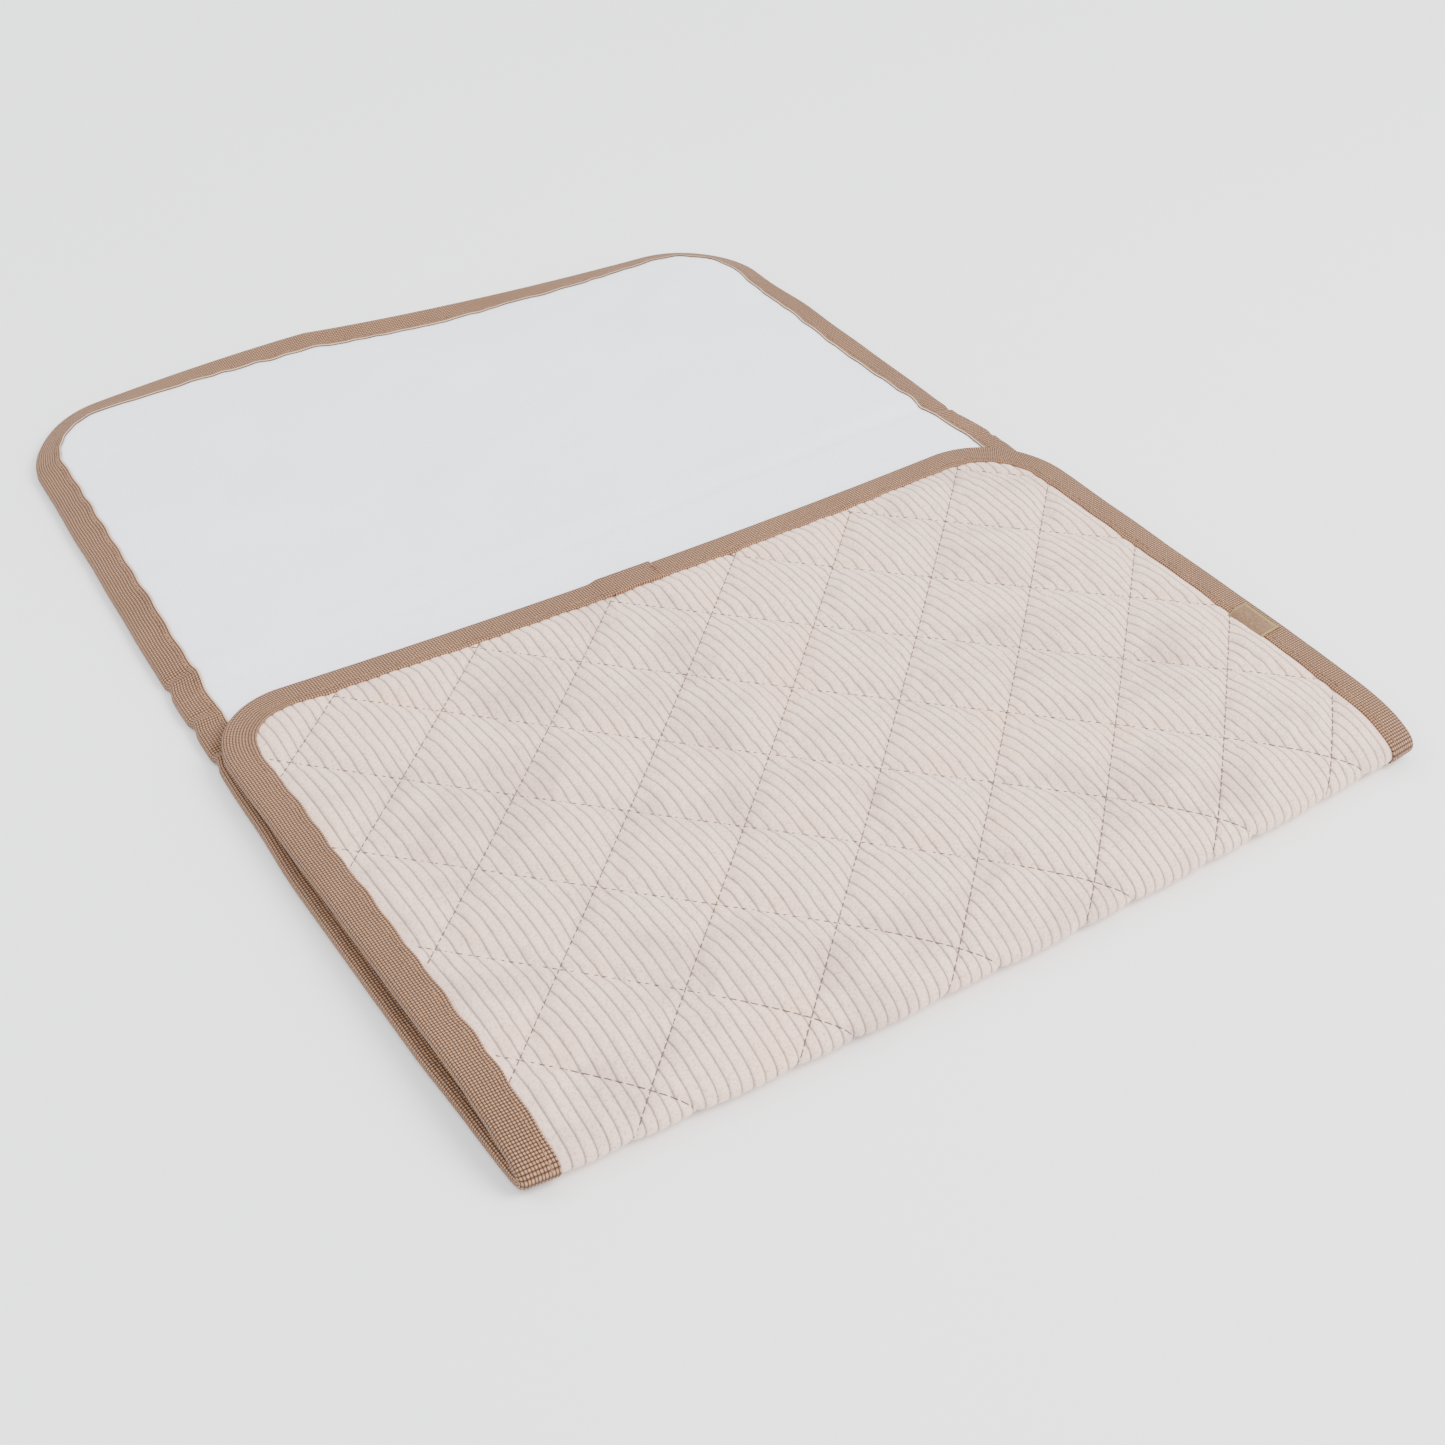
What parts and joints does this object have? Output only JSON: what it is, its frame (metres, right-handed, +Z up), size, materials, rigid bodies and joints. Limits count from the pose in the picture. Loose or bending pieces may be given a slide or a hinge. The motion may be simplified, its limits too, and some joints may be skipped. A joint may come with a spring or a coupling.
{
  "type": "folding baby changing mat",
  "caption": "Padded mat with a quilted corduroy outside, wipe-clean lining and taped edge, folding in thirds; stored half open with the front third folded in.",
  "frame": {"origin": "under the centre of the mat's bounding box at rest, on the surface it lies on", "axes": "+Z up; +Y from the folded front towards the open back panel; +X to the right across the mat, along the creases"},
  "size_m": [0.35, 0.438, 0.0158],
  "materials": {
    "corduroy": "matte jumbo corduroy, machine quilted",
    "wadding": "matte polyester wadding",
    "lining": "smooth coated cloth, soft sheen",
    "binding": "matte basket-weave tape",
    "label": "satin woven, blank"
  },
  "bodies": {
    "middle_panel": {"middle_corduroy_shell": "corduroy", "middle_wadding": "wadding", "middle_lining": "lining", "middle_binding_left": "binding", "middle_binding_right": "binding"},
    "front_spine": {"front_spine_corduroy_shell": "corduroy", "front_spine_wadding": "wadding", "front_spine_lining": "lining", "front_spine_binding_left": "binding", "front_spine_binding_right": "binding"},
    "front_panel": {"front_corduroy_shell": "corduroy", "front_wadding": "wadding", "front_lining": "lining", "front_binding_finishing_end": "binding", "front_binding_starting_end": "binding", "side_label": "label"},
    "back_spine": {"back_spine_corduroy_shell": "corduroy", "back_spine_wadding": "wadding", "back_spine_lining": "lining", "back_spine_binding_left": "binding", "back_spine_binding_right": "binding"},
    "back_panel": {"back_corduroy_shell": "corduroy", "back_wadding": "wadding", "back_lining": "lining", "back_binding": "binding"}
  },
  "joints": [
    {"name": "front_lower_crease", "type": "hinge", "parent": "middle_panel", "child": "front_spine", "pos_m": [0, -0.2165, 0.0025], "axis": [1, 0, 0], "range_deg": [0, 90]},
    {"name": "front_upper_crease", "type": "hinge", "parent": "front_spine", "child": "front_panel", "pos_m": [0, -0.2165, 0.0133], "axis": [1, 0, 0], "range_deg": [0, 91.4]},
    {"name": "back_lower_crease", "type": "hinge", "parent": "middle_panel", "child": "back_spine", "pos_m": [0, 0.009, 0.0025], "axis": [1, 0, 0], "range_deg": [0, 90]},
    {"name": "back_upper_crease", "type": "hinge", "parent": "back_spine", "child": "back_panel", "pos_m": [0, 0.029, 0.0025], "axis": [1, 0, 0], "range_deg": [0, 90]}
  ],
  "couplings": [
    {"joint": "front_upper_crease", "follows": "front_lower_crease", "ratio": 1.0155},
    {"joint": "back_upper_crease", "follows": "back_lower_crease", "ratio": 1}
  ]
}
